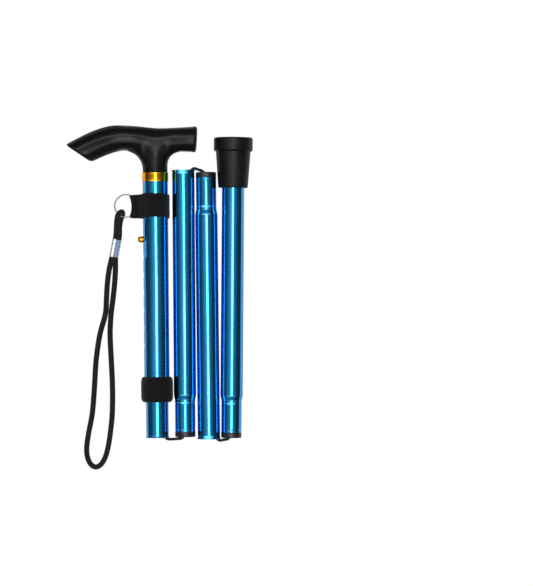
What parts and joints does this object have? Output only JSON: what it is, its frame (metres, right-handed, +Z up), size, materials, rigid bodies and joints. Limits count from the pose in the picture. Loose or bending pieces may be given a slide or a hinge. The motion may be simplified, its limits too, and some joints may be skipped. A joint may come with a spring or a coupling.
{
  "type": "folding cane",
  "caption": "Folding walking cane, stored folded: blue metal tubes joined by an elastic cord, T-shaped grip, snap-button height setting, wrist strap with cord loop, rubber tip.",
  "frame": {"origin": "middle of the grip, on the axis of the shaft's outer tube", "axes": "+Z up along the outer tube towards the grip, -X towards the grip's nose, +Y away from the viewer"},
  "size_m": [0.1582, 0.033, 0.2923],
  "materials": {
    "blue_aluminium": "bright blue anodised",
    "grip_plastic": "satin black",
    "guide_plastic": "satin black",
    "gold_metal": "polished",
    "spring_steel": "plain",
    "bright_steel": "bright plated",
    "crimp_metal": "bright",
    "black_rubber": "matt",
    "black_webbing": "woven, napped",
    "black_cord": "braided"
  },
  "bodies": {
    "handle_tube": {"handle": "grip_plastic", "handle_pin": "spring_steel", "collar_ring": "gold_metal", "outer_tube": "blue_aluminium", "wrist_strap": "black_webbing", "keeper_strap": "black_webbing"},
    "inner_shaft": {"inner_tube": "blue_aluminium", "button_spring": "spring_steel", "upper_cord_plug": "guide_plastic", "upper_cord_knot": "black_cord", "elastic_in_inner_tube": "black_cord"},
    "button": {"snap_button": "gold_metal"},
    "ring": {"split_ring": "bright_steel"},
    "wrist_loop": {"wrist_cord_bight": "black_cord", "wrist_cord_loop": "black_cord", "crimp_sleeve": "crimp_metal"},
    "cord_link_1": {"elastic_bend_1": "black_cord"},
    "section_2": {"second_tube": "blue_aluminium", "second_tube_guide": "guide_plastic", "elastic_in_second_tube": "black_cord"},
    "cord_link_2": {"elastic_bend_2": "black_cord"},
    "section_3": {"third_tube": "blue_aluminium", "third_tube_guide": "guide_plastic", "elastic_in_third_tube": "black_cord"},
    "cord_link_3": {"elastic_bend_3": "black_cord"},
    "section_4": {"fourth_tube": "blue_aluminium", "fourth_tube_guide": "guide_plastic", "elastic_in_fourth_tube": "black_cord", "lower_cord_plug": "guide_plastic", "lower_cord_knot": "black_cord", "rubber_tip": "black_rubber", "tip_washer": "spring_steel"}
  },
  "joints": [
    {"name": "height_slide", "type": "slide", "parent": "handle_tube", "child": "inner_shaft", "axis": [0, 0, -1], "range_m": [0, 0.09]},
    {"name": "button_press", "type": "slide", "parent": "inner_shaft", "child": "button", "axis": [1, 0, 0], "range_m": [0, 0.0059], "stiffness_N_per_m": 800, "springref_m": -0.002, "deforming": ["button_spring"]},
    {"name": "fold_1", "type": "hinge", "parent": "inner_shaft", "child": "cord_link_1", "pos_m": [0.01178, 0, -0.253], "axis": [0, 1, 0], "range_deg": [0, 179.94], "deforming": ["elastic_bend_1"]},
    {"name": "plug_1", "type": "slide", "parent": "cord_link_1", "child": "section_2", "axis": [-0.001, 0, -1], "range_m": [0, 0.0335], "deforming": ["elastic_bend_1"]},
    {"name": "plug_2", "type": "slide", "parent": "section_2", "child": "cord_link_2", "axis": [-0.001, 0, -1], "range_m": [0, 0.035], "deforming": ["elastic_bend_2"]},
    {"name": "fold_2", "type": "hinge", "parent": "cord_link_2", "child": "section_3", "pos_m": [0.03339, 0, -0.02652], "axis": [0, -1, 0], "range_deg": [0, 179.8], "deforming": ["elastic_bend_2"]},
    {"name": "plug_3", "type": "slide", "parent": "section_3", "child": "cord_link_3", "axis": [-0.0024, 0, 1], "range_m": [0, 0.034], "deforming": ["elastic_bend_3"]},
    {"name": "fold_3", "type": "hinge", "parent": "cord_link_3", "child": "section_4", "pos_m": [0.05299, 0, -0.25448], "axis": [0, 1, 0], "range_deg": [0, 178.95], "deforming": ["elastic_bend_3"]},
    {"name": "ring_turn", "type": "hinge", "parent": "handle_tube", "child": "ring", "pos_m": [-0.0249, 0, -0.0565], "axis": [0, 1, 0], "continuous": true},
    {"name": "loop_swing", "type": "hinge", "parent": "handle_tube", "child": "wrist_loop", "pos_m": [-0.03013, 0, -0.06455], "axis": [0.8387, 0, -0.5446], "range_deg": [-60, 60]}
  ],
  "couplings": [
    {"joint": "fold_2", "follows": "fold_1", "ratio": 0.99922},
    {"joint": "fold_3", "follows": "fold_1", "ratio": 0.9945}
  ]
}
